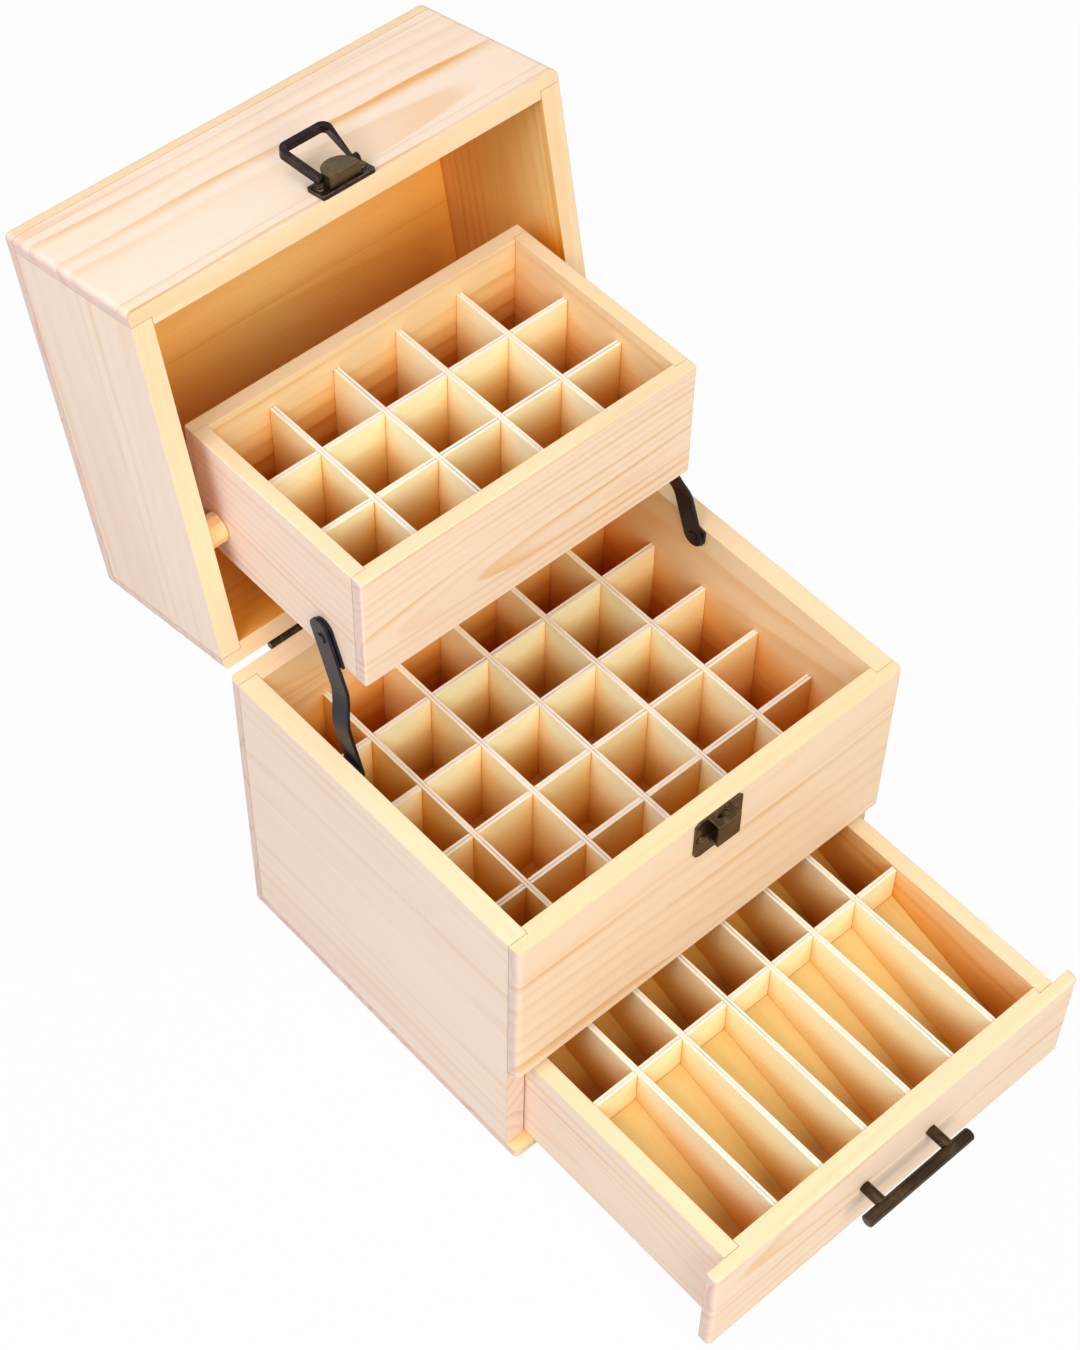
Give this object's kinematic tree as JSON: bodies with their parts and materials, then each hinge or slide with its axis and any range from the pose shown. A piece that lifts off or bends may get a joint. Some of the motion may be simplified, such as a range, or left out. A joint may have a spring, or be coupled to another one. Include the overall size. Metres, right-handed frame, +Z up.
{
  "type": "essential oil storage box",
  "caption": "Wooden bottle box with divided cells, a deep hinged lid that lifts out a divided tray, and a divided drawer below.",
  "frame": {"origin": "middle of the base's underside, on the surface it stands on", "axes": "+X to the right seen from the front, +Y to the back, +Z up; the drawer opens towards -Y"},
  "size_m": [0.234, 0.4803, 0.3828],
  "materials": {
    "pine": "pale unfinished pine, sanded",
    "divider_wood": "thin pale plywood",
    "hinge_brass": "dull plated",
    "black_steel": "satin black",
    "antique_bronze": "antique bronze plated"
  },
  "bodies": {
    "base": {"base_bottom_board": "pine", "base_front_panel": "pine", "base_back_panel": "pine", "base_left_panel": "pine", "base_right_panel": "pine", "base_middle_floor": "pine", "base_divider_deep_1": "divider_wood", "base_divider_deep_2": "divider_wood", "base_divider_deep_3": "divider_wood", "base_divider_deep_4": "divider_wood", "base_divider_deep_5": "divider_wood", "base_divider_wide_1": "divider_wood", "base_divider_wide_2": "divider_wood", "base_divider_wide_3": "divider_wood", "base_divider_wide_4": "divider_wood", "hinge_base_leaf_left": "hinge_brass", "hinge_base_leaf_right": "hinge_brass", "arm_base_plate_left": "black_steel", "arm_base_plate_right": "black_steel", "latch_catch": "antique_bronze"},
    "lid": {"lid_top_board": "pine", "lid_front_panel": "pine", "lid_back_panel": "pine", "lid_left_panel": "pine", "lid_right_panel": "pine", "hinge_lid_leaf_left": "hinge_brass", "hinge_lid_leaf_right": "hinge_brass", "tray_pivot_left": "pine", "tray_pivot_right": "pine", "latch_plate": "antique_bronze", "latch_lever": "antique_bronze"},
    "tray": {"tray_floor": "pine", "tray_front_wall": "pine", "tray_back_wall": "pine", "tray_left_wall": "pine", "tray_right_wall": "pine", "tray_divider_deep_1": "divider_wood", "tray_divider_deep_2": "divider_wood", "tray_divider_deep_3": "divider_wood", "tray_divider_deep_4": "divider_wood", "tray_divider_wide_1": "divider_wood", "tray_divider_wide_2": "divider_wood"},
    "arm_left": {"tray_arm_left": "black_steel"},
    "arm_right": {"tray_arm_right": "black_steel"},
    "drawer": {"drawer_front_panel": "pine", "drawer_back_wall": "pine", "drawer_left_wall": "pine", "drawer_right_wall": "pine", "drawer_bottom": "pine", "drawer_front_ramp": "divider_wood", "drawer_back_ramp": "divider_wood", "drawer_divider_wide": "divider_wood", "drawer_divider_deep_1": "divider_wood", "drawer_divider_deep_2": "divider_wood", "drawer_divider_deep_3": "divider_wood", "drawer_divider_deep_4": "divider_wood", "drawer_divider_deep_5": "divider_wood", "drawer_divider_deep_6": "divider_wood", "drawer_pull": "antique_bronze"},
    "bail": {"latch_bail": "antique_bronze"}
  },
  "joints": [
    {"name": "lid_hinge", "type": "hinge", "parent": "base", "child": "lid", "pos_m": [0, 0.101, 0.17925], "axis": [1, 0, 0], "range_deg": [0, 102]},
    {"name": "tray_pivot", "type": "hinge", "parent": "lid", "child": "tray", "pos_m": [0, 0.1255, 0.24475], "axis": [1, 0, 0], "range_deg": [-102, 0]},
    {"name": "arm_left_pivot", "type": "hinge", "parent": "base", "child": "arm_left", "pos_m": [-0.1035, 0.0255, 0.17325], "axis": [1, 0, 0], "range_deg": [0, 102]},
    {"name": "arm_right_pivot", "type": "hinge", "parent": "base", "child": "arm_right", "pos_m": [0.1035, 0.0255, 0.17325], "axis": [1, 0, 0], "range_deg": [0, 102]},
    {"name": "drawer_slide", "type": "slide", "parent": "base", "child": "drawer", "axis": [0, 1, 0], "range_m": [0, 0.13]},
    {"name": "bail_pivot", "type": "hinge", "parent": "lid", "child": "bail", "pos_m": [0, 0.15174, 0.37927], "axis": [1, 0, 0], "range_deg": [0, 150]}
  ],
  "couplings": [
    {"joint": "tray_pivot", "follows": "lid_hinge", "ratio": -1},
    {"joint": "arm_left_pivot", "follows": "lid_hinge", "ratio": 1},
    {"joint": "arm_right_pivot", "follows": "lid_hinge", "ratio": 1}
  ]
}
